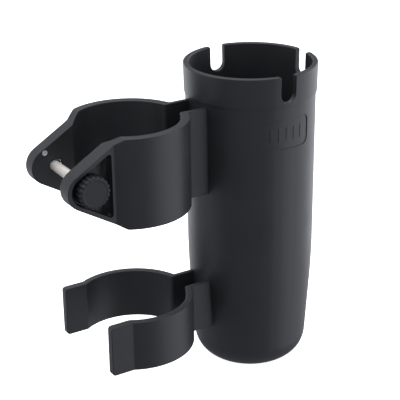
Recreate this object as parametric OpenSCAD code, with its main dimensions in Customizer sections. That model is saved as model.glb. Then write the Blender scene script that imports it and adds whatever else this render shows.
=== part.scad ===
// Cup holder for a round post: a deep cup with a slotted rim, a screw clamp and a snap hook.
// Z runs up the post. The origin is on the post axis, at the middle of the clamp ring.
// The cup stands on the +X side and the clamp ears point to -X.

/* [Cup] */
// distance from the post axis to the cup axis
cup_offset = 84; // [83:0.5:87]
// height of the rim above the middle of the clamp ring
rim_height = 46.8; // [46.8:0.2:50]
// overall height of the cup
cup_height = 192.4; // [188:0.4:200]
// outside radius of the rim
rim_radius = 40; // [39.8:0.1:41]
// outside radius of the cup just under the rim collar
body_radius = 38.95; // [38.7:0.05:39.2]
// height of the rim collar with its lower chamfer
collar_height = 20; // [20:0.1:20.1]
// wall thickness of the cup
cup_wall = 2.8; // [2.4:0.1:3.2]
// wall thickness at the rim
rim_wall = 3.4; // [3:0.1:3.8]
// radius of the rounded edge round the base
base_round = 17; // [14:0.5:18]

/* [Rim slots] */
// width of each slot in the rim
slot_width = 10; // [8:0.5:12]
// depth of each slot below the rim
slot_depth = 16; // [13:0.5:16.5]
// radius on the top corners of a slot
slot_round = 1.2; // [0.8:0.1:1.6]

/* [Clamp ring] */
// bore radius of the clamp ring, open
ring_bore = 30.8; // [30:0.1:31.2]
// outside radius of the clamp ring
ring_outer = 36.2; // [36:0.1:36.8]
// height of the clamp ring
ring_height = 53.4; // [50:0.2:53.4]
// distance from the middle plane to the inner face of each ear
ear_inner = 17.9; // [17.5:0.1:18.2]
// distance from the middle plane to the outer face of the front ear
front_ear_outer = 28; // [27.6:0.1:28.2]
// distance from the middle plane to the outer face of the back ear
back_ear_outer = 26.6; // [26.4:0.1:27]
// radius of the rounded tip of each ear
ear_tip_radius = 11.15; // [10.6:0.05:11.6]
// thickness of the rim round each ear pocket
ear_rim = 2.5; // [2:0.1:2.8]
// thickness of the web at the bottom of each ear pocket
ear_web = 3; // [2.6:0.1:3.2]

/* [Snap hook] */
// bore radius of the hook
hook_bore = 32.2; // [31.8:0.1:32.6]
// outside radius of the hook
hook_outer = 36.4; // [36.2:0.1:36.8]
// height of the hook
hook_height = 31; // [28:0.5:33]
// distance from the middle of the clamp ring down to the middle of the hook
hook_drop = 100.1; // [97:0.1:103]
// distance from the middle plane to the inner face of each hook tip
hook_tip_inner = 27.2; // [26.8:0.1:27.6]
// distance from the middle plane to the outer face of each hook tip
hook_tip_outer = 32; // [31.6:0.1:32.4]

/* [Thumb screw] */
// radius of the screw shank
screw_radius = 3; // [2.95:0.01:3.02]
// radius over the lobes of the knob
knob_radius = 9.4; // [9.2:0.1:9.6]
// number of lobes round the knob
knob_lobes = 20; // [18:1:22]
// length of the knob along the screw
knob_length = 8; // [7:0.1:9]
// width across the flats of the nut
nut_flats = 10; // [9.8:0.1:10]
// thickness of the nut
nut_thickness = 5; // [4.6:0.1:5.2]

/* [Hidden] */
$fn = 96;
eps = 0.01;
// longer than any feature, for shapes that only cut or trim
span = 80;
// how far a cut runs past the face it opens
overrun = 1;

// cup
rim_z = rim_height;
base_z = rim_z - cup_height;
collar_z = rim_z - collar_height;
collar_chamfer = 2.8;
collar_taper = 0.35;
upper_slope = 0.0043;
lower_slope = 0.0685;
knee_depth = 105;
knee_half = 18;
knee_steps = 6;
knee_gain = (lower_slope - upper_slope) / (4 * knee_half);
knee_radius = body_radius - upper_slope * knee_depth;
lower_angle = atan(lower_slope);
slot_top_clear = 2;
slot_corner_lift = 0.1;

// neck plates and hinge lines
plate_thickness = 3;
ring_plate_outer = 11.2;
hook_plate_outer = 10.6;
plate_start = 31;
hinge_angle = 27;
knuckle_radius = 2;
knuckle_clear = 0.05;
shoulder_gap = 0.3;
mouth_round = 2.5;

// ears
ear_tip_x = -40.6;
ear_root_x = -17.7;
screw_x = -37.5;
front_slab_root_x = -22.2;
back_slab_root_x = -24;
pocket_root_x = -24.8;
nut_pocket_root_x = -29;
pocket_floor = ear_inner + ear_web;
boss_radius = 8.6;
boss_top = 24.7;
rib_half = 1;
rib_top = 24;
screw_hole_clear = 0.08;
relief_hole = 3.4;
relief_back = -0.1;
relief_front = 1.8;
nut_gap = 0.35;
nut_rib_gap = 0.25;
nut_rib_thick = 2;
nut_rib_reach = 4.2;
pin_x = -43.2;
pin_z = 8.7;
pin_radius = 1.6;
pin_bore = 0.9;
pin_end = 22;

// hook
hook_tip_x = -31.4;
hook_slab_root = -15;
hook_corner = 2;

// thumb screw
knob_under = 24.8;
knob_face = knob_under + knob_length;
knob_core = knob_radius - 0.7;
lobe_radius = 1.25;
knob_chamfer = 0.8;
screw_seat = 6;
screw_tip = 24.2;
tip_chamfer = 0.9;
thread_clear = 0.05;

// label recess on the cup wall
label_half_width = 16.4;
label_half_height = 9;
label_z = 11.8;
label_corner = 4;
label_depth = 0.5;
label_step = 5.2;
label_bar_half = 3.4;
label_bar_width = 1.6;

// outside radius of the cup at a depth below the collar
function body_r(d) =
    d < knee_depth - knee_half ? body_radius - upper_slope * d
    : d > knee_depth + knee_half ? knee_radius - lower_slope * (d - knee_depth)
    : body_radius - upper_slope * d - knee_gain * pow(d - knee_depth + knee_half, 2);

round_z = base_z + base_round;
round_x = body_r(collar_z - round_z) - base_round * sqrt(1 + lower_slope * lower_slope);

// half section of the cup below the collar, moved in by a wall thickness
module cup_section(inset) {
    top = collar_z;
    knee_top = top - knee_depth + knee_half;
    r = base_round - inset;
    floor_z = base_z + inset;
    corner_x = body_r(top - floor_z) - inset;
    side_x = round_x + r * cos(lower_angle);
    side_z = round_z - r * sin(lower_angle);
    difference() {
        polygon(concat(
            [[0, top], [body_radius - inset, top]],
            [for (i = [0 : knee_steps])
                let (z = knee_top - 2 * knee_half * i / knee_steps) [body_r(top - z) - inset, z]],
            [[side_x, side_z], [corner_x, floor_z], [0, floor_z]]));
        difference() {
            polygon([[round_x, round_z], [side_x, side_z], [side_x + overrun, side_z],
                     [corner_x + overrun, floor_z - overrun], [round_x, floor_z - overrun]]);
            translate([round_x, round_z]) circle(r);
        }
    }
}

module cup_solid() {
    translate([cup_offset, 0, 0]) rotate_extrude() cup_section(0);
}

// rounded rectangle standing on the front of the cup, looking along Y
module label_outline() {
    w = label_half_width - label_corner;
    h = label_half_height - label_corner;
    square([2 * label_half_width, 2 * h], center = true);
    square([2 * w, 2 * label_half_height], center = true);
    for (x = [-w, w]) for (y = [-h, h]) translate([x, y]) circle(label_corner);
}

module label_bars() {
    for (i = [-2 : 2]) translate([i * label_step, 0]) {
        square([label_bar_width, 2 * label_bar_half], center = true);
        for (y = [-label_bar_half, label_bar_half]) translate([0, y]) circle(label_bar_width / 2);
    }
}

module label_cut() {
    floor_r = body_radius - label_depth;
    difference() {
        translate([0, 0, label_z]) rotate([90, 0, 0]) linear_extrude(span)
            difference() {
                label_outline();
                label_bars();
            }
        translate([0, 0, label_z - 2 * label_half_height]) cylinder(h = 4 * label_half_height, r = floor_r);
    }
}

// cup wall and base below the collar
module cup_shell() {
    color([0.09, 0.09, 0.1])
    translate([cup_offset, 0, 0]) difference() {
        rotate_extrude() difference() {
            cup_section(0);
            cup_section(cup_wall);
        }
        label_cut();
    }
}

// shape of a rim slot, seen along the slot; its top corners meet the rim at a small angle
module slot_shape() {
    r = slot_width / 2;
    floor_y = rim_z - slot_depth + r;
    corner_y = rim_z - slot_round + slot_corner_lift;
    translate([0, floor_y]) circle(r);
    translate([-r, floor_y]) square([slot_width, corner_y + slot_corner_lift - floor_y]);
    difference() {
        translate([-r - slot_round, corner_y])
            square([slot_width + 2 * slot_round, slot_round + slot_top_clear]);
        for (s = [-1, 1]) translate([s * (r + slot_round), corner_y]) circle(slot_round);
    }
}

// thick collar round the top of the cup, with three slots
module rim_collar() {
    color([0.1, 0.1, 0.11])
    translate([cup_offset, 0, 0]) difference() {
        rotate([0, 0, 45]) rotate_extrude() polygon([
            [rim_radius - rim_wall, rim_z], [rim_radius, rim_z],
            [rim_radius - collar_taper, collar_z + collar_chamfer], [body_radius, collar_z],
            [body_radius - cup_wall, collar_z]]);
        for (a = [0, 180, 270]) rotate([0, 0, a]) rotate([90, 0, 0])
            translate([0, 0, -span]) linear_extrude(span) slot_shape();
    }
}

// everything on the root side of a hinge line, in plan
module root_side() {
    rotate([0, 0, -hinge_angle]) translate([0, shoulder_gap / 2]) square([span, span]);
}

// everything on the far side of a hinge line, in plan
module far_side() {
    rotate([0, 0, -hinge_angle]) translate([-span, -span - shoulder_gap / 2]) square([2 * span, span]);
}

module at_hinge(bore, outer) {
    mid = (bore + outer) / 2;
    translate([mid * cos(hinge_angle), -mid * sin(hinge_angle)]) children();
}

// plan of one neck plate with its stub of the ring, on the -Y side
module plate_plan(bore, outer, face) {
    inner_face = face - plate_thickness;
    mouth_far = bore + mouth_round;
    mouth_y = inner_face + mouth_round;
    mouth_x = sqrt(mouth_far * mouth_far - mouth_y * mouth_y);
    difference() {
        union() {
            translate([plate_start, -face]) square([cup_offset - plate_start, plate_thickness]);
            intersection() {
                difference() {
                    circle(outer);
                    circle(bore);
                }
                root_side();
                translate([0, -span - inner_face]) square([span, span]);
            }
        }
        difference() {
            polygon([
                [mouth_x * bore / mouth_far, -mouth_y * bore / mouth_far],
                [bore - mouth_round, -inner_face - overrun],
                [bore - mouth_round, -inner_face + overrun], [mouth_x, -inner_face + overrun],
                [mouth_x, -inner_face], [mouth_x, -mouth_y]]);
            translate([mouth_x, -mouth_y]) circle(mouth_round);
        }
        at_hinge(bore, outer) circle(knuckle_radius + knuckle_clear);
    }
}

// one neck plate, cut to sit on the cup wall
module neck_plate(bore, outer, face, height, middle) {
    difference() {
        translate([0, 0, middle - height / 2]) linear_extrude(height) plate_plan(bore, outer, face);
        cup_solid();
    }
}

module upper_plate_front() {
    color([0.09, 0.09, 0.1]) neck_plate(ring_bore, ring_outer, ring_plate_outer, ring_height, 0);
}

module upper_plate_back() {
    color([0.09, 0.09, 0.1]) mirror([0, 1, 0])
        neck_plate(ring_bore, ring_outer, ring_plate_outer, ring_height, 0);
}

module lower_plate_front() {
    color([0.09, 0.09, 0.1])
        neck_plate(hook_bore, hook_outer, hook_plate_outer, hook_height, -hook_drop);
}

module lower_plate_back() {
    color([0.09, 0.09, 0.1]) mirror([0, 1, 0])
        neck_plate(hook_bore, hook_outer, hook_plate_outer, hook_height, -hook_drop);
}

// plan of a curved arm on the -Y side, ending in a straight slab
module arm_plan(bore, outer, slab_in, slab_out, slab_from, slab_to) {
    difference() {
        union() {
            intersection() {
                circle(outer);
                far_side();
                translate([-span, -span]) square([2 * span, span]);
            }
            translate([slab_from, -slab_out]) square([slab_to - slab_from, slab_out - slab_in]);
        }
        circle(bore);
        translate([-span, -slab_in]) square([span, span]);
    }
    at_hinge(bore, outer) circle(knuckle_radius);
}

// direction from the tip's centre to the point where an ear's sloping edge meets its round tip
function edge_angle(radius, root_half) =
    let (reach = ear_root_x - ear_tip_x)
    atan2(root_half, reach) + acos(radius / sqrt(reach * reach + root_half * root_half));

// side view of an ear: full ring height at the root, sloping to a round tip
module ear_side(radius, root_half) {
    angle = edge_angle(radius, root_half);
    tx = ear_tip_x + radius * cos(angle);
    tz = radius * sin(angle);
    polygon([[span, root_half], [ear_root_x, root_half], [tx, tz], [tx, -tz],
             [ear_root_x, -root_half], [span, -root_half]]);
    translate([ear_tip_x, 0]) circle(radius);
}

// stands a side view up and gives it a depth from one y distance to another, on the -Y side
module on_edge(from, to) {
    translate([0, -from, 0]) rotate([90, 0, 0]) linear_extrude(to - from) children();
}

// one clamp jaw without its holes, on the -Y side: the y of its ear's outer face, the x where the
// ear's slab meets the ring and the x where its pocket ends
module jaw_blank(outer_face, slab_root, pocket_end) {
    pocket_half = ring_height / 2 - ear_rim / sin(edge_angle(ear_tip_radius, ring_height / 2));
    difference() {
        intersection() {
            translate([0, 0, -ring_height / 2]) linear_extrude(ring_height)
                arm_plan(ring_bore, ring_outer, ear_inner, outer_face,
                         ear_tip_x - ear_tip_radius, slab_root);
            on_edge(0, span) ear_side(ear_tip_radius, ring_height / 2);
        }
        on_edge(pocket_floor, span) intersection() {
            ear_side(ear_tip_radius - ear_rim, pocket_half);
            translate([-span, -span]) square([span + pocket_end, 2 * span]);
        }
    }
}

module jaw_front() {
    color([0.09, 0.09, 0.1]) difference() {
        union() {
            jaw_blank(front_ear_outer, front_slab_root_x, pocket_root_x);
            translate([screw_x, 0]) on_edge(pocket_floor - eps, boss_top) circle(boss_radius);
            on_edge(pocket_floor - eps, rib_top) translate([screw_x, -rib_half])
                square([pocket_root_x - screw_x + overrun, 2 * rib_half]);
        }
        translate([screw_x, 0]) on_edge(0, span) circle(screw_radius + screw_hole_clear);
    }
}

module jaw_back() {
    nut_half = nut_flats / 2 + nut_rib_gap;
    color([0.09, 0.09, 0.1]) mirror([0, 1, 0]) difference() {
        union() {
            jaw_blank(back_ear_outer, back_slab_root_x, nut_pocket_root_x);
            for (z = [nut_half, -nut_half - nut_rib_thick])
                on_edge(pocket_floor - eps, rib_top) translate([screw_x - nut_rib_reach, z])
                    square([nut_pocket_root_x - screw_x + nut_rib_reach + overrun, nut_rib_thick]);
        }
        on_edge(0, span) {
            for (x = [relief_back, relief_front]) translate([screw_x + x, 0]) circle(relief_hole);
            translate([screw_x + relief_back, -relief_hole])
                square([relief_front - relief_back, 2 * relief_hole]);
            translate([pin_x, pin_z]) circle(pin_radius);
        }
    }
}

// side view of a hook tip with rounded corners
module hook_side() {
    half = hook_height / 2;
    translate([hook_tip_x + hook_corner, -half]) square([span, hook_height]);
    translate([hook_tip_x, -half + hook_corner]) square([hook_corner, hook_height - 2 * hook_corner]);
    for (z = [-half + hook_corner, half - hook_corner])
        translate([hook_tip_x + hook_corner, z]) circle(hook_corner);
}

// one arm of the snap hook, on the -Y side
module hook_arm() {
    translate([0, 0, -hook_drop]) intersection() {
        translate([0, 0, -hook_height / 2]) linear_extrude(hook_height)
            arm_plan(hook_bore, hook_outer, hook_tip_inner, hook_tip_outer, hook_tip_x, hook_slab_root);
        on_edge(0, span) hook_side();
    }
}

module hook_front() {
    color([0.09, 0.09, 0.1]) hook_arm();
}

module hook_back() {
    color([0.09, 0.09, 0.1]) mirror([0, 1, 0]) hook_arm();
}

// lobed knob moulded over the head of the screw
module thumb_knob() {
    color([0.12, 0.12, 0.13]) difference() {
        translate([screw_x, 0]) {
            on_edge(knob_under, knob_face - knob_chamfer) circle(knob_core);
            translate([0, -knob_face + knob_chamfer, 0]) rotate([90, 0, 0])
                cylinder(h = knob_chamfer, r1 = knob_core, r2 = knob_core - knob_chamfer);
            for (i = [0 : knob_lobes - 1]) on_edge(knob_under, knob_face - knob_chamfer)
                rotate(i * 360 / knob_lobes) translate([knob_radius - lobe_radius, 0])
                    circle(lobe_radius, $fn = 24);
        }
        translate([screw_x, 0]) on_edge(0, knob_under + screw_seat) circle(screw_radius);
    }
}

// plain shank of the screw, seated in the knob
module screw_shank() {
    length = screw_tip + knob_under + screw_seat;
    color([0.78, 0.76, 0.7]) translate([screw_x, screw_tip, 0]) rotate([90, 0, 0]) {
        cylinder(h = tip_chamfer, r1 = screw_radius - tip_chamfer, r2 = screw_radius);
        translate([0, 0, tip_chamfer]) cylinder(h = length - tip_chamfer, r = screw_radius);
    }
}

// loose nut behind the web of the back ear
module hex_nut() {
    color([0.75, 0.75, 0.73]) translate([screw_x, pocket_floor + nut_gap, 0]) rotate([-90, 0, 0])
        difference() {
            cylinder(h = nut_thickness, r = nut_flats / sqrt(3), $fn = 6);
            translate([0, 0, -overrun])
                cylinder(h = nut_thickness + 2 * overrun, r = screw_radius + thread_clear);
        }
}

// small hollow pin pressed into the back ear
module spring_pin() {
    color([0.8, 0.8, 0.8]) mirror([0, 1, 0]) translate([pin_x, 0, pin_z])
        on_edge(ear_inner, pin_end) difference() {
            circle(pin_radius);
            circle(pin_bore);
        }
}

cup_shell();
rim_collar();
upper_plate_front();
upper_plate_back();
jaw_front();
jaw_back();
lower_plate_front();
lower_plate_back();
hook_front();
hook_back();
thumb_knob();
screw_shank();
hex_nut();
spring_pin();
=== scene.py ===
import math

import bmesh
import bpy
from mathutils import Matrix, Vector


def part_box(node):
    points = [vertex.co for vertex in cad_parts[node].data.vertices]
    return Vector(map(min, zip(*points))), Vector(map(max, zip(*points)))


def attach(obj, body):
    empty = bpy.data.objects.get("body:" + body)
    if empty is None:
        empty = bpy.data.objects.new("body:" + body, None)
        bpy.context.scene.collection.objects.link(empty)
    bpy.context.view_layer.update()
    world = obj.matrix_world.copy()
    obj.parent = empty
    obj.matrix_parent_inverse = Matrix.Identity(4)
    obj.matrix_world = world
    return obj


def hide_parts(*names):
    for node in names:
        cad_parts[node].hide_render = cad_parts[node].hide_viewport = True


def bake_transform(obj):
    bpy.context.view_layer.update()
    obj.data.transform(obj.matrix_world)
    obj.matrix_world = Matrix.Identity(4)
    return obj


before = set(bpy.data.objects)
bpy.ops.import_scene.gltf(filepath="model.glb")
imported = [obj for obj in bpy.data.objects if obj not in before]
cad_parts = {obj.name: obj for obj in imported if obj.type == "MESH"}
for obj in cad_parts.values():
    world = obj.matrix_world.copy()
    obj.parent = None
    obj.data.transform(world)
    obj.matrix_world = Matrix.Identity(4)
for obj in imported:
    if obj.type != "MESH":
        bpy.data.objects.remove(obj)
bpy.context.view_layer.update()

# Shapes are worked out in millimetres, in the CAD frame, and scaled to metres once when each is done.
MM = 1000.0


def box_mm(node):
    lo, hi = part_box(node)
    return lo * MM, hi * MM


shell_lo, shell_hi = box_mm("cup_shell")
rim_lo, rim_hi = box_mm("rim_collar")
jaw_lo, jaw_hi = box_mm("jaw_front")
hook_lo, hook_hi = box_mm("hook_front")
knob_lo, knob_hi = box_mm("thumb_knob")
shank_lo, shank_hi = box_mm("screw_shank")
nut_lo, nut_hi = box_mm("hex_nut")
pin_lo, pin_hi = box_mm("spring_pin")

CUP_X = (shell_lo.x + shell_hi.x) / 2
RIM_R = CUP_X - rim_lo.x
RIM_Z = rim_hi.z
COLLAR_Z = rim_lo.z
BASE_Z = shell_lo.z
BODY_R = shell_hi.y
SCREW_X = (knob_lo.x + knob_hi.x) / 2
PIN_X, PIN_Z = (pin_lo.x + pin_hi.x) / 2, (pin_lo.z + pin_hi.z) / 2

# sizes of the moulding, as in the CAD
CUP_WALL, RIM_WALL = 2.8, 3.4
COLLAR_CHAMFER, COLLAR_TAPER = 2.8, 0.35
BASE_ROUND = 17.0
UPPER_SLOPE, LOWER_SLOPE = 0.0043, 0.0685
KNEE_DEPTH, KNEE_HALF = 105.0, 18.0
SLOT_HALF, SLOT_DEPTH, SLOT_ROUND = 5.0, 16.0, 1.2
PLATE = 3.0

# the two arms: radii, distances of the plate's and the slab's faces from the middle plane, the slab's
# end in x, half the height and the height of the middle
RING = dict(bore=30.8, outer=36.2, face=11.2, slab_in=17.9, slab_out=26.6,
            tip=jaw_lo.x, half=(jaw_hi.z - jaw_lo.z) / 2, mid=0.0)
HOOK = dict(bore=32.2, outer=36.4, face=10.6, slab_in=27.2, slab_out=32.0,
            tip=hook_lo.x, half=(hook_hi.z - hook_lo.z) / 2, mid=(hook_hi.z + hook_lo.z) / 2)
HOOK_CORNER = 2.0
MOUTH = 2.5

# ears, their pockets and what stands in them
EAR_TIP_X, EAR_TIP_R, EAR_ROOT_X, EAR_RIM = -40.6, 11.15, -17.7, 2.5
FRONT_EAR_FACE = 28.0
POCKET_FLOOR, SCREW_POCKET_X, NUT_POCKET_X = 20.9, -24.8, -29.0
BOSS_R, BOSS_TOP = 8.6, 24.7
RIB_TOP, RIB_HALF = 24.0, 1
NUT_RIB_LOWS, NUT_RIB, NUT_RIB_REACH = (5.25, -7.25), 2, 4.2
SCREW_HOLE_R = 3.08
RELIEF_R, RELIEF_BACK, RELIEF_FRONT = 3.4, -0.1, 1.8
PIN_R, PIN_BORE_R = (pin_hi.x - pin_lo.x) / 2, 0.9

# looks only: the label recess with its bars, the edge widths and the dish in the knob's face
LABEL = dict(half_w=16.4, half_h=9.0, corner=4.0, mid=11.8, deep=0.5)
BAR = dict(pitch=5.2, half=3.4, radius=0.8, deep=0.25)
RIM_EDGE, LABEL_EDGE = 0.5, 0.14
ARM_EDGE, HOOK_EDGE = 0.45, 0.55
HOLE_EDGE, POCKET_EDGE, PIN_EDGE = 0.15, 0.2, 0.14
KNOB_DISH = ((7.15, 0.01), (6.95, 0.12), (6.75, 0.14))

SEAM_X = 40.5       # where the arms meet the cup's piece
PAST_SEAM = 50.0    # where the arms' outlines start, before they are cut at the seam
PLATE_X = (30, 60)  # the neck plates' outlines, before they are cut at the seam and in the wall
ARC_STEP = 2.9      # degrees; keeps the arms' facet edges off the ears' roots
CREASE = 50.0       # degrees; more than the steps of a rounded edge turn
OVER = 1.0          # how far a tool starts before the surface it cuts or joins
SLOT_Y = (-46, -30)     # each tool's reach through the cup's wall, before it is turned in place
LABEL_Y = (-45, -32)
BAR_Y = (-50, -30)
FAR = 60.0          # past every surface that a tool cuts


# ---------------------------------------------------------------- outlines
def arc(cx, cy, r, start, end, step=5.0):
    """Points round a centre from one angle to another, in degrees."""
    n = max(2, math.ceil(abs(end - start) / step))
    turns = [math.radians(start + (end - start) * i / n) for i in range(n + 1)]
    return [(cx + r * math.cos(t), cy + r * math.sin(t)) for t in turns]


def rounded(points):
    """A closed outline. A point may give a third number, the radius that rounds its corner."""
    out = []
    for i, p in enumerate(points):
        if len(p) < 3:
            out.append((p[0], p[1]))
            continue
        a = Vector(points[i - 1][:2])
        b = Vector(p[:2])
        c = Vector(points[(i + 1) % len(points)][:2])
        u, v = (a - b).normalized(), (c - b).normalized()
        corner = u.angle(v)
        back = min(p[2] / math.tan(corner / 2), 0.48 * (a - b).length, 0.48 * (c - b).length)
        r = back * math.tan(corner / 2)
        centre = b + (u + v).normalized() * (r / math.sin(corner / 2))
        s, e = b + u * back - centre, b + v * back - centre
        a0, a1 = math.atan2(s.y, s.x), math.atan2(e.y, e.x)
        sweep = (a1 - a0 + math.pi) % (2 * math.pi) - math.pi
        n = max(2, math.ceil(math.degrees(abs(sweep)) / 18))
        for k in range(n + 1):
            t = a0 + sweep * k / n
            out.append((centre.x + r * math.cos(t), centre.y + r * math.sin(t)))
    return out


# ---------------------------------------------------------------- solids
def to_object(name, bm):
    bmesh.ops.recalc_face_normals(bm, faces=bm.faces)
    mesh = bpy.data.meshes.new(name)
    bm.to_mesh(mesh)
    bm.free()
    o = bpy.data.objects.new(name, mesh)
    bpy.context.scene.collection.objects.link(o)
    return o


def prism(outline, lo, hi, axis="z"):
    """A closed solid from an outline in x and y between two heights, or for axis y from one in x and z."""
    bm = bmesh.new()
    rows = []
    for h in (lo, hi):
        rows.append([bm.verts.new((x, y, h) if axis == "z" else (x, h, y)) for x, y in outline])
    bm.faces.new(rows[0])
    bm.faces.new(rows[1])
    n = len(outline)
    for i in range(n):
        j = (i + 1) % n
        bm.faces.new((rows[0][i], rows[0][j], rows[1][j], rows[1][i]))
    return to_object("prism", bm)


def lathe(profile, angles, axis="z", at=(0, 0, 0)):
    """A closed solid of revolution from (radius, height) points that start and end on the axis."""
    bm = bmesh.new()
    rows = []
    for r, h in profile:
        if r < 1e-6:
            ring = [(0.0, 0.0, h)]
        else:
            ring = [(r * math.cos(math.radians(a)), r * math.sin(math.radians(a)), h) for a in angles]
        if axis == "y":
            ring = [(x, z, y) for x, y, z in ring]
        rows.append([bm.verts.new(Vector(p) + Vector(at)) for p in ring])
    n = len(angles)
    for a, b in zip(rows, rows[1:]):
        for i in range(n):
            j = (i + 1) % n
            if len(a) == 1:
                bm.faces.new((a[0], b[i], b[j]))
            elif len(b) == 1:
                bm.faces.new((a[i], a[j], b[0]))
            else:
                bm.faces.new((a[i], a[j], b[j], b[i]))
    return to_object("lathe", bm)


def bake(o):
    """Applies an object's modifiers."""
    bpy.context.view_layer.update()
    graph = bpy.context.evaluated_depsgraph_get()
    done = bpy.data.meshes.new_from_object(o.evaluated_get(graph))
    old = o.data
    o.modifiers.clear()
    o.data = done
    bpy.data.meshes.remove(old)
    return o


def combine(target, tool, operation):
    """UNION, DIFFERENCE or INTERSECT of two closed solids; the tool is used up."""
    m = target.modifiers.new("combine", "BOOLEAN")
    m.operation, m.object, m.solver = operation, tool, "EXACT"
    bake(target)
    bpy.data.objects.remove(tool)
    return target


def turn(o, degrees):
    o.data.transform(Matrix.Rotation(math.radians(degrees), 4, "Z"))
    return o


def shift(o, x):
    o.data.transform(Matrix.Translation((x, 0, 0)))
    return o


def mirror_y(o):
    o.data.transform(Matrix.Scale(-1, 4, (0, 1, 0)))
    o.data.flip_normals()
    return o


def soften(o, width_of, segments=3, sharpest=24.0, hollows=True):
    """
    Rounds the edges that turn by more than sharpest degrees. width_of gives an edge's width in
    millimetres from its middle. Without hollows, the inward edges stay as they are.
    """
    bm = bmesh.new()
    bm.from_mesh(o.data)
    bmesh.ops.remove_doubles(bm, verts=bm.verts, dist=0.012)
    bmesh.ops.dissolve_limit(bm, angle_limit=math.radians(0.3), verts=bm.verts, edges=bm.edges)
    layer = bm.edges.layers.float.get("bevel_weight_edge")
    if layer is None:
        layer = bm.edges.layers.float.new("bevel_weight_edge")
    widths = {}
    for e in bm.edges:
        if len(e.link_faces) != 2 or not (hollows or e.is_convex):
            continue
        if math.degrees(e.calc_face_angle(0.0)) > sharpest:
            widths[e.index] = width_of((e.verts[0].co + e.verts[1].co) / 2)
    widest = max(widths.values())
    for e in bm.edges:
        e[layer] = widths.get(e.index, 0.0) / widest
    bm.to_mesh(o.data)
    bm.free()
    m = o.modifiers.new("round", "BEVEL")
    m.limit_method = "WEIGHT"
    m.width = widest
    m.segments = segments
    m.use_clamp_overlap = False
    m.miter_outer = "MITER_SHARP"
    return bake(o)


def crease(o):
    """Shades as sharp every edge that turns by more than CREASE."""
    bm = bmesh.new()
    bm.from_mesh(o.data)
    for e in bm.edges:
        if len(e.link_faces) == 2 and math.degrees(e.calc_face_angle(0.0)) > CREASE:
            e.smooth = False
    bm.to_mesh(o.data)
    bm.free()
    return o


def keep(o, x, side):
    """Cuts a piece at a plane across X and keeps the side that side points to, with a flat end."""
    bm = bmesh.new()
    bm.from_mesh(o.data)
    geometry = bm.verts[:] + bm.edges[:] + bm.faces[:]
    bmesh.ops.bisect_plane(bm, geom=geometry, dist=1e-5, plane_co=(x, 0, 0), plane_no=(-side, 0, 0),
                           clear_outer=True)
    rim = [e for e in bm.edges if e.is_boundary]
    made = bmesh.ops.holes_fill(bm, edges=rim, sides=0)["faces"]
    for f in made:
        for e in f.edges:
            e.smooth = False
    bm.to_mesh(o.data)
    bm.free()
    return o


def dress(o, name, material, body=None):
    """Scales a piece to metres, shades it smoothly, names it and gives it its material."""
    o.data.transform(Matrix.Scale(1 / MM, 4))
    for p in o.data.polygons:
        p.use_smooth = True
    m = o.modifiers.new("normals", "WEIGHTED_NORMAL")
    m.keep_sharp = True
    m.weight = 80
    bake(o)
    o.name = name
    o.data.name = name
    o.data.materials.clear()
    o.data.materials.append(material)
    if body:
        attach(o, body)
    return o


# ---------------------------------------------------------------- materials
def material(name):
    m = bpy.data.materials.new(name)
    m.use_nodes = True
    tree = m.node_tree
    shader = tree.nodes["Principled BSDF"]
    return m, tree, shader


def node(tree, kind, **settings):
    n = tree.nodes.new(kind)
    for key, value in settings.items():
        if key in n.inputs:
            n.inputs[key].default_value = value
        else:
            setattr(n, key, value)
    return n


def noise(tree, coords, scale, detail=3.0, rough=0.55):
    n = node(tree, "ShaderNodeTexNoise", Scale=scale, Detail=detail, Roughness=rough)
    tree.links.new(coords, n.inputs["Vector"])
    return n.outputs["Fac"]


def ramp(tree, fac, stops):
    n = tree.nodes.new("ShaderNodeValToRGB")
    n.color_ramp.elements[0].position, n.color_ramp.elements[0].color = stops[0]
    n.color_ramp.elements[1].position, n.color_ramp.elements[1].color = stops[-1]
    for position, colour in stops[1:-1]:
        n.color_ramp.elements.new(position).color = colour
    tree.links.new(fac, n.inputs["Fac"])
    return n.outputs["Color"]


def map_range(tree, fac, lo, hi):
    n = node(tree, "ShaderNodeMapRange")
    n.inputs["To Min"].default_value = lo
    n.inputs["To Max"].default_value = hi
    tree.links.new(fac, n.inputs["Value"])
    return n.outputs["Result"]


def bump(tree, height, strength, distance, normal=None):
    n = node(tree, "ShaderNodeBump", Strength=strength, Distance=distance)
    tree.links.new(height, n.inputs["Height"])
    if normal is not None:
        tree.links.new(normal, n.inputs["Normal"])
    return n.outputs["Normal"]


def grey(v):
    """A grey with a trace of blue in it."""
    return (v, v * 1.02, v * 1.08, 1.0)


def moulded_black(name, low, high, rough_low, rough_high, grain):
    """Satin black moulding: fine spark-eroded grain, faint flow clouds and a slightly uneven gloss."""
    m, tree, shader = material(name)
    coords = tree.nodes.new("ShaderNodeTexCoord").outputs["Object"]
    cloud = noise(tree, coords, 28.0, 2.0)
    fine = noise(tree, coords, 900.0, 2.0, 0.6)
    grit = noise(tree, coords, grain, 1.0, 0.5)
    mix = node(tree, "ShaderNodeMath", operation="ADD")
    share = node(tree, "ShaderNodeMath", operation="MULTIPLY")
    share.inputs[1].default_value = 0.35
    tree.links.new(fine, share.inputs[0])
    tree.links.new(cloud, mix.inputs[0])
    tree.links.new(share.outputs[0], mix.inputs[1])
    colour = ramp(tree, mix.outputs[0], [(0.35, grey(low)), (0.95, grey(high))])
    tree.links.new(colour, shader.inputs["Base Color"])
    tree.links.new(map_range(tree, cloud, rough_low, rough_high), shader.inputs["Roughness"])
    soft = bump(tree, fine, 0.12, 0.0002)
    tree.links.new(bump(tree, grit, 0.22, 0.00012, soft), shader.inputs["Normal"])
    shader.inputs["Specular IOR Level"].default_value = 0.5
    return m


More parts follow.
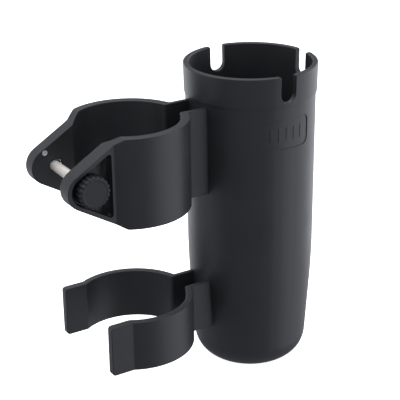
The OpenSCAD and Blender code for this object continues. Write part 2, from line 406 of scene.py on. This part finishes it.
def plated(name, dark, light, rough_low, rough_high, stretch, metal):
    """Plated steel with fine marks that run round or along the piece."""
    m, tree, shader = material(name)
    coords = tree.nodes.new("ShaderNodeTexCoord").outputs["Object"]
    mapping = node(tree, "ShaderNodeMapping")
    mapping.inputs["Scale"].default_value = stretch
    tree.links.new(coords, mapping.inputs["Vector"])
    marks = noise(tree, mapping.outputs["Vector"], 700.0, 3.0, 0.6)
    cloud = noise(tree, coords, 160.0, 2.0)
    tree.links.new(ramp(tree, cloud, [(0.3, dark), (0.75, light)]), shader.inputs["Base Color"])
    tree.links.new(map_range(tree, marks, rough_low, rough_high), shader.inputs["Roughness"])
    tree.links.new(bump(tree, marks, 0.25, 0.00005), shader.inputs["Normal"])
    shader.inputs["Metallic"].default_value = metal
    return m


PLASTIC = moulded_black("moulded_black", 0.016, 0.024, 0.40, 0.52, 2600.0)
KNOB = moulded_black("knob_black", 0.009, 0.014, 0.50, 0.62, 2200.0)
SCREW = plated("screw_plating", (0.84, 0.78, 0.69, 1), (0.98, 0.93, 0.84, 1), 0.30, 0.44, (1, 6, 1), 0.4)
BRIGHT = plated("bright_plating", (0.62, 0.62, 0.61, 1), (0.88, 0.88, 0.87, 1), 0.26, 0.40, (1, 5, 1), 0.5)


# ---------------------------------------------------------------- cup
def body_r(d):
    """Outside radius of the cup at a depth below the collar."""
    gain = (LOWER_SLOPE - UPPER_SLOPE) / (4 * KNEE_HALF)
    if d < KNEE_DEPTH - KNEE_HALF:
        return BODY_R - UPPER_SLOPE * d
    if d > KNEE_DEPTH + KNEE_HALF:
        return BODY_R - UPPER_SLOPE * KNEE_DEPTH - LOWER_SLOPE * (d - KNEE_DEPTH)
    return BODY_R - UPPER_SLOPE * d - gain * (d - KNEE_DEPTH + KNEE_HALF) ** 2


def wall_profile(inset):
    """(radius, height) of the cup's wall below the collar, from the axis at the base to the collar."""
    round_z = BASE_Z + BASE_ROUND
    round_x = body_r(COLLAR_Z - round_z) - BASE_ROUND * math.hypot(1, LOWER_SLOPE)
    lean = math.degrees(math.atan(LOWER_SLOPE))
    points = [(0.0, BASE_Z + inset), (round_x * 0.5, BASE_Z + inset)]
    points += arc(round_x, round_z, BASE_ROUND - inset, -90, -lean, 6)
    knee_low = COLLAR_Z - KNEE_DEPTH - KNEE_HALF
    for i in range(11):
        z = knee_low + 2 * KNEE_HALF * i / 10
        points.append((body_r(COLLAR_Z - z) - inset, z))
    return points


def cup_columns():
    """Angles of the lathe's columns, kept clear of the slots' edges and of the neck plates' faces."""
    slot_side, plate_side = 11.2, 20.0
    angles = set()
    for slot in (0, 90, 270):
        for off in (1.9, 5.6, slot_side):
            angles.update((round((slot - off) % 360, 4), round(slot + off, 4)))
    for off in (0.0, 4.7, 9.5, 14.75, plate_side):
        angles.update((180 - off, 180 + off))
    for lo, hi, n in ((slot_side, 90 - slot_side, 23), (90 + slot_side, 180 - plate_side, 20)):
        for i in range(1, n):
            angle = round(lo + (hi - lo) * i / n, 4)
            angles.update((angle, round(360 - angle, 4)))
    return sorted(angles)


def slot_tool():
    """What a rim slot on the -Y side takes away: a round foot, straight sides and rounded shoulders."""
    foot_z = RIM_Z - SLOT_DEPTH + SLOT_HALF
    shoulder_z = RIM_Z - SLOT_ROUND + 0.08
    wide = SLOT_HALF + SLOT_ROUND
    outline = arc(0, foot_z, SLOT_HALF, -180, 0, 12)
    outline += arc(wide, shoulder_z, SLOT_ROUND, 180, 104, 20)
    outline += [(wide - 0.2, RIM_Z + 4), (0.2 - wide, RIM_Z + 4)]
    outline += arc(-wide, shoulder_z, SLOT_ROUND, 76, 0, 20)
    return prism(outline, *SLOT_Y, axis="y")


def label_tool():
    """What the shallow label recess on the -Y side takes away, less the plain bars standing in it."""
    w, h, corner, z = LABEL["half_w"], LABEL["half_h"], LABEL["corner"], LABEL["mid"]
    columns = [i * 3.0 + 1.1 for i in range(120)]

    def drum(depth, half):
        r = BODY_R - depth
        return lathe([(0, z - half), (r, z - half), (r, z + half), (0, z + half)], columns)

    panel = [(-w, z - h, corner), (w, z - h, corner), (w, z + h, corner), (-w, z + h, corner)]
    tool = prism(rounded(panel), *LABEL_Y, axis="y")
    combine(tool, drum(LABEL["deep"], 14), "DIFFERENCE")
    for i in range(-2, 3):
        x = i * BAR["pitch"]
        outline = arc(x, z + BAR["half"], BAR["radius"], 0, 180, 30)
        outline += arc(x, z - BAR["half"], BAR["radius"], 180, 360, 30)
        bar = combine(drum(BAR["deep"], 6), prism(outline, *BAR_Y, axis="y"), "INTERSECT")
        combine(tool, bar, "DIFFERENCE")
    return tool


def make_cup():
    columns = cup_columns()
    side_r = RIM_R - COLLAR_TAPER
    corner = rounded([
        (BODY_R, COLLAR_Z - 4), (BODY_R, COLLAR_Z), (side_r, COLLAR_Z + COLLAR_CHAMFER, 0.9),
        (RIM_R, RIM_Z, 0.75), (RIM_R - RIM_WALL, RIM_Z, 0.75), (BODY_R - CUP_WALL, COLLAR_Z),
        (BODY_R - CUP_WALL - 1, COLLAR_Z - 4)])
    profile = wall_profile(0) + corner[1:-1] + wall_profile(CUP_WALL)[::-1]
    cup = shift(lathe(profile, columns), x=CUP_X)

    for a in (0, 90, 180):
        combine(cup, shift(turn(slot_tool(), a), x=CUP_X), "DIFFERENCE")
    combine(cup, shift(label_tool(), x=CUP_X), "DIFFERENCE")

    def width_of(mid):
        beside = abs(mid.x - CUP_X) < LABEL["half_w"] + 3 and mid.y < 0
        if beside and abs(mid.z - LABEL["mid"]) < LABEL["half_h"] + 3:
            return LABEL_EDGE
        return RIM_EDGE if mid.z > COLLAR_Z else 0.0

    soften(cup, width_of)

    # the neck plates are rounded first and reach into the middle of the wall
    half_wall = wall_profile(CUP_WALL / 2) + [(BODY_R - CUP_WALL / 2, COLLAR_Z), (0, COLLAR_Z)]
    x0, x1 = PLATE_X
    for spec, edge in ((RING, ARM_EDGE), (HOOK, HOOK_EDGE)):
        for side in (-1, 1):
            near, far = side * (spec["face"] - PLATE), side * spec["face"]
            outline = [(x0, near), (x1, near), (x1, far), (x0, far)]
            plate = prism(outline, spec["mid"] - spec["half"], spec["mid"] + spec["half"])
            soften(plate, lambda mid: edge)
            combine(plate, shift(lathe(half_wall, columns), x=CUP_X), "DIFFERENCE")
            combine(cup, plate, "UNION")
    return keep(crease(cup), SEAM_X, 1)


# ---------------------------------------------------------------- clamp jaws and hook arms
def arm_outline(s):
    """Plan of one neck plate, its curved arm and the straight slab at the end, on the +Y side."""
    bore, outer, face = s["bore"], s["outer"], s["face"]
    deg = math.degrees
    start = deg(math.asin(face / outer))
    finish = 180 - deg(math.asin(s["slab_out"] / outer))
    points = [(PAST_SEAM, face), (math.sqrt(outer ** 2 - face ** 2), face, 1.6)]
    points += arc(0, 0, outer, start, finish, ARC_STEP)[1:-1]
    points += [(-math.sqrt(outer ** 2 - s["slab_out"] ** 2), s["slab_out"], 1.6)]
    points += [(s["tip"], s["slab_out"]), (s["tip"], s["slab_in"])]
    points += [(-math.sqrt(bore ** 2 - s["slab_in"] ** 2), s["slab_in"], 0.9)]
    my = face - PLATE + MOUTH
    mx = math.sqrt((bore + MOUTH) ** 2 - my ** 2)
    touch = math.atan2(my, mx)
    points += arc(0, 0, bore, 180 - deg(math.asin(s["slab_in"] / bore)), deg(touch), ARC_STEP)[1:]
    points += arc(mx, my, MOUTH, deg(touch) + 180, 270, 12)[1:]
    points += [(PAST_SEAM, face - PLATE)]
    return rounded(points)


def edge_angle(radius, half):
    """Direction from the tip's centre to the point where the sloping edge meets the round tip."""
    reach = EAR_ROOT_X - EAR_TIP_X
    return math.atan2(half, reach) + math.acos(radius / math.hypot(reach, half))


def ear_outline(radius, half, root=None):
    """
    Side view of an ear: a round tip, two sloping edges and the full height at its root. With a root,
    side view of its pocket, which ends at that x.
    """
    deg = math.degrees(edge_angle(radius, half))
    tip = arc(EAR_TIP_X, 0, radius, deg, 360 - deg, 6)
    if root is None:
        return rounded([(80, half), (EAR_ROOT_X, half, 3.0)] + tip + [(EAR_ROOT_X, -half, 3.0), (80, -half)])
    first, last = Vector(tip[0]), Vector((EAR_ROOT_X, half))
    k = (root - first.x) / (last.x - first.x)
    top = first.y + (last.y - first.y) * k
    return rounded([(root, top, 1.4)] + tip + [(root, -top, 1.4)])


def ear_depth(x, z):
    """How far a point lies inside an ear's outline, seen from the side."""
    slope = edge_angle(EAR_TIP_R, RING["half"])
    x, z = x - EAR_TIP_X, abs(z)
    if math.atan2(z, x) > slope:
        return EAR_TIP_R - math.hypot(x, z)
    return EAR_TIP_R - x * math.cos(slope) - z * math.sin(slope)


def cylinder_y(x, z, r, lo, hi, step=7.5):
    return prism(arc(x, z, r, 0, 360 - step, step), lo, hi, axis="y")


def make_jaw(front):
    """One half of the clamp with its neck plate, on the +Y side; the front one is mirrored at the end."""
    s = dict(RING, slab_out=FRONT_EAR_FACE) if front else RING
    jaw = prism(arm_outline(s), -s["half"], s["half"])
    combine(jaw, prism(ear_outline(EAR_TIP_R, s["half"]), 0, FAR, axis="y"), "INTERSECT")
    root = SCREW_POCKET_X if front else NUT_POCKET_X
    pocket_half = s["half"] - EAR_RIM / math.sin(edge_angle(EAR_TIP_R, s["half"]))
    pocket = ear_outline(EAR_TIP_R - EAR_RIM, pocket_half, root)
    combine(jaw, prism(pocket, POCKET_FLOOR, FAR, axis="y"), "DIFFERENCE")

    def add_rib(x, z_low, z_high):
        rib = [(x, z_low), (root + OVER, z_low), (root + OVER, z_high), (x, z_high)]
        combine(jaw, prism(rib, POCKET_FLOOR - OVER, RIB_TOP, axis="y"), "UNION")

    if front:
        combine(jaw, cylinder_y(SCREW_X, 0, BOSS_R, POCKET_FLOOR - OVER, BOSS_TOP), "UNION")
        add_rib(SCREW_X, -RIB_HALF, RIB_HALF)
        combine(jaw, cylinder_y(SCREW_X, 0, SCREW_HOLE_R, 0, FAR, 9), "DIFFERENCE")
    else:
        for z in NUT_RIB_LOWS:
            add_rib(SCREW_X - NUT_RIB_REACH, z, z + NUT_RIB)
        relief = arc(SCREW_X + RELIEF_FRONT, 0, RELIEF_R, -90, 90, 9)
        relief += arc(SCREW_X + RELIEF_BACK, 0, RELIEF_R, 90, 270, 9)
        combine(jaw, prism(relief, 0, FAR, axis="y"), "DIFFERENCE")
        combine(jaw, cylinder_y(PIN_X, PIN_Z, PIN_R, 0, FAR, 18), "DIFFERENCE")

    def width_of(mid):
        """Fine round the screw and the pin, a little wider in the pocket, full width elsewhere."""
        by_screw = math.hypot(mid.x - SCREW_X, mid.z) < 6
        if by_screw or math.hypot(mid.x - PIN_X, mid.z - PIN_Z) < PIN_R + 0.2:
            return HOLE_EDGE
        inside = mid.x < root + 0.6 and ear_depth(mid.x, mid.z) > 0.5
        return POCKET_EDGE if inside and mid.y > POCKET_FLOOR - 0.1 else ARM_EDGE

    soften(jaw, width_of, hollows=False)
    keep(jaw, SEAM_X, -1)
    return mirror_y(jaw) if front else jaw


def make_hook(front):
    """One arm of the hook with its neck plate, on the +Y side; the front one is mirrored at the end."""
    lo, hi = HOOK["mid"] - HOOK["half"], HOOK["mid"] + HOOK["half"]
    arm = prism(arm_outline(HOOK), lo, hi)
    side = rounded([(80, lo), (80, hi), (HOOK["tip"], hi, HOOK_CORNER), (HOOK["tip"], lo, HOOK_CORNER)])
    combine(arm, prism(side, 0, FAR, axis="y"), "INTERSECT")
    soften(arm, lambda mid: HOOK_EDGE)
    keep(arm, SEAM_X, -1)
    return mirror_y(arm) if front else arm


# ---------------------------------------------------------------- thumb screw, nut and pin
def make_knob():
    """Lobed knob: rounded lobes round a drum, rounded over at the face, with a shallow dish in it."""
    lobes, per_lobe = 20, 12
    radius = (knob_hi.x - knob_lo.x) / 2
    lobe_r, core = 1.25, radius - 0.7
    wave = 0.35     # share of a plain wave mixed into the lobes, which rounds the grooves between them
    top, under = knob_lo.y, knob_hi.y
    n = lobes * per_lobe

    def plan(inset):
        """(radius, angle) of the points round the knob, a step in from its outline."""
        out = []
        for i in range(n):
            a = 2 * math.pi * i / n
            off = (a * lobes / (2 * math.pi)) % 1.0
            off = min(off, 1 - off) * 2 * math.pi / lobes
            across = (radius - lobe_r) * math.sin(off)
            reach = lobe_r ** 2 - across ** 2
            r = core
            if reach > 0:
                r = max(r, (radius - lobe_r) * math.cos(off) + math.sqrt(reach))
            crest = 0.5 + 0.5 * math.cos(lobes * a)
            groove = core - 0.15
            r = r * (1 - wave) + (groove + (radius - groove) * crest) * wave
            out.append((r - inset, a))
        return out

    # each row's y and how far it is drawn in: a small chamfer underneath, a rounding at the face
    levels = [(under, 0.5), (under - 0.25, 0.15), (under - 0.6, 0.0), (top + 1.1, 0.0), (top + 0.72, 0.08),
              (top + 0.4, 0.3), (top + 0.15, 0.65), (top, 1.15)]
    bm = bmesh.new()
    rows = []
    for y, inset in levels:
        rows.append([bm.verts.new((SCREW_X + r * math.cos(a), y, r * math.sin(a))) for r, a in plan(inset)])
    for r, deep in KNOB_DISH:
        rows.append([bm.verts.new((SCREW_X + r * math.cos(a), top + deep, r * math.sin(a)))
                     for a in [2 * math.pi * i / n for i in range(n)]])
    for a, b in zip(rows, rows[1:]):
        for i in range(n):
            j = (i + 1) % n
            bm.faces.new((a[i], a[j], b[j], b[i]))
    bm.faces.new(rows[0])
    bm.faces.new(rows[-1])
    return to_object("knob", bm)


def make_shank():
    """Plain round shank with a rounded shoulder and a flat end at its tip."""
    r = (shank_hi.x - shank_lo.x) / 2
    tip, head = shank_hi.y, shank_lo.y
    shoulder, flat = 1.3, 0.55
    profile = [(0, head), (r, head), (r, tip - shoulder)]
    for t in [math.radians(a) for a in (18, 36, 54, 72, 90)]:
        profile.append((r * (flat + (1 - flat) * math.cos(t)), tip - shoulder * (1 - math.sin(t))))
    profile += [(0, tip)]
    return lathe(profile, [i * 5.0 for i in range(72)], axis="y", at=(SCREW_X, 0, 0))


def make_nut():
    """Hexagon nut, chamfered on both faces, with a countersunk bore and thread grooves."""
    z = (nut_lo.z + nut_hi.z) / 2
    corner = (nut_hi.x - nut_lo.x) / 2
    lo, hi = nut_lo.y, nut_hi.y
    hexagon = arc(SCREW_X, z, corner, 0, 300, 60)
    nut = prism(hexagon, lo, hi, axis="y")
    chamfer_r, chamfer, past = corner * math.cos(math.pi / 6) - 0.1, 0.62, corner + 0.1
    columns = [i * 5.0 + 2.0 for i in range(72)]
    cone = lathe([(0, lo), (chamfer_r, lo), (past, lo + chamfer), (past, hi - chamfer),
                  (chamfer_r, hi), (0, hi)], columns, axis="y", at=(SCREW_X, 0, z))
    combine(nut, cone, "INTERSECT")
    bore_r, groove_r, flare_r, lead, pitch = 3.05, 3.3, 4.3, 0.3, 1.0
    bore = [(0, lo - OVER), (flare_r, lo - OVER), (bore_r, lo + lead)]
    y = lo + lead
    while y < hi - lead - pitch:
        bore += [(bore_r, y + 0.2), (groove_r, y + 0.5), (groove_r, y + 0.6), (bore_r, y + 0.9)]
        y += pitch
    bore += [(bore_r, hi - lead), (flare_r, hi + OVER), (0, hi + OVER)]
    columns = [i * 7.5 + 1.0 for i in range(48)]
    combine(nut, lathe(bore, columns, axis="y", at=(SCREW_X, 0, z)), "DIFFERENCE")
    return nut


def make_pin():
    """Rolled spring pin: an open tube with a slit along it."""
    outline = arc(PIN_X, PIN_Z, PIN_R, 100, 440, 12) + arc(PIN_X, PIN_Z, PIN_BORE_R, 436, 104, 18)
    pin = prism(outline, pin_lo.y, pin_hi.y, axis="y")
    return soften(pin, lambda mid: PIN_EDGE, segments=2, sharpest=40)


# ---------------------------------------------------------------- the pieces and their bodies
dress(make_cup(), "cup_moulding", PLASTIC, "holder")
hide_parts("cup_shell", "rim_collar", "upper_plate_front",
            "upper_plate_back", "lower_plate_front", "lower_plate_back")

for front in (True, False):
    side, sign = ("front", -1) if front else ("back", 1)
    jaw = dress(make_jaw(front), "clamp_" + side, PLASTIC)
    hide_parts("jaw_" + side)
    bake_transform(jaw)
    arm = dress(make_hook(front), "hook_arm_" + side, PLASTIC)
    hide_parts("hook_" + side)
    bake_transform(arm)

knob = dress(make_knob(), "thumb_screw_knob", KNOB, "thumb_screw")
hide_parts("thumb_knob")
shank = dress(make_shank(), "thumb_screw_shank", SCREW, "thumb_screw")
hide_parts("screw_shank")
nut = dress(make_nut(), "clamp_nut", BRIGHT, "nut")
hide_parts("hex_nut")
pin = dress(make_pin(), "ear_spring_pin", BRIGHT, "jaw_back")
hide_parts("spring_pin")


# ---------------------------------------------------------------- camera, from the photo's viewpoint
camera = bpy.data.objects.new("camera", bpy.data.cameras.new("camera"))
bpy.context.scene.collection.objects.link(camera)
right = Vector((0.85168, -0.52391, -0.01214))
up = Vector((0.21149, 0.32242, 0.92267))
back = Vector((-0.47948, -0.78839, 0.38540))
pose = Matrix((right, up, back)).transposed().to_4x4()
pose.translation = (-0.31885, -0.60312, 0.26025)
camera.matrix_world = pose
camera.data.lens = 114.6
camera.data.sensor_width = 36.0
camera.data.clip_start, camera.data.clip_end = 0.01, 50.0
bpy.context.scene.camera = camera


# ---------------------------------------------------------------- floor, world and lights
floor_bm = bmesh.new()
bmesh.ops.create_grid(floor_bm, x_segments=8, y_segments=8, size=8.0)
floor = to_object("floor", floor_bm)
floor.location.z = BASE_Z / MM - 0.0005
floor_material, _, floor_shader = material("floor_white")
floor_shader.inputs["Base Color"].default_value = (0.93, 0.93, 0.93, 1)
floor_shader.inputs["Roughness"].default_value = 0.9
floor_shader.inputs["Specular IOR Level"].default_value = 0.0
floor_shader.inputs["Emission Color"].default_value = (1, 1, 1, 1)
floor_shader.inputs["Emission Strength"].default_value = 0.93
floor.data.materials.append(floor_material)
floor.visible_glossy = False
floor.visible_diffuse = False
floor.visible_shadow = False

world = bpy.data.worlds.new("studio")
bpy.context.scene.world = world
world.use_nodes = True
world.node_tree.nodes["Background"].inputs["Color"].default_value = (0.29, 0.305, 0.34, 1)
world.node_tree.nodes["Background"].inputs["Strength"].default_value = 1.0


LIGHT_TINT = (0.97, 0.985, 1.04)
MIDDLE = Vector((0.04, 0.0, -0.04))


def soft_light(name, place, size, power):
    """A rectangular light turned towards the middle of the object; size in metres, power in watts."""
    data = bpy.data.lights.new(name, "AREA")
    data.shape = "RECTANGLE"
    data.size, data.size_y = size
    data.energy = power
    data.color = LIGHT_TINT
    o = bpy.data.objects.new(name, data)
    bpy.context.scene.collection.objects.link(o)
    o.location = place
    o.rotation_mode = "QUATERNION"
    o.rotation_quaternion = (MIDDLE - Vector(place)).to_track_quat("-Z", "Y")
    return o


soft_light("light_top", (0.00, 0.10, 1.0), (1.4, 1.4), 13.0)
soft_light("light_right_front", (0.95, -0.80, -0.15), (1.3, 1.6), 7.5)
soft_light("light_right_back", (1.10, 0.25, 0.00), (0.9, 1.3), 6.5)
soft_light("light_left", (-1.00, 0.45, 0.00), (0.8, 1.2), 2.5)
soft_light("light_back", (0.00, 1.20, -0.15), (1.0, 1.1), 5.5)
soft_light("light_front", (-0.45, -1.05, 0.45), (0.9, 0.9), 1.0)

bpy.context.scene.view_settings.view_transform = "Standard"
bpy.context.scene.view_settings.look = "None"
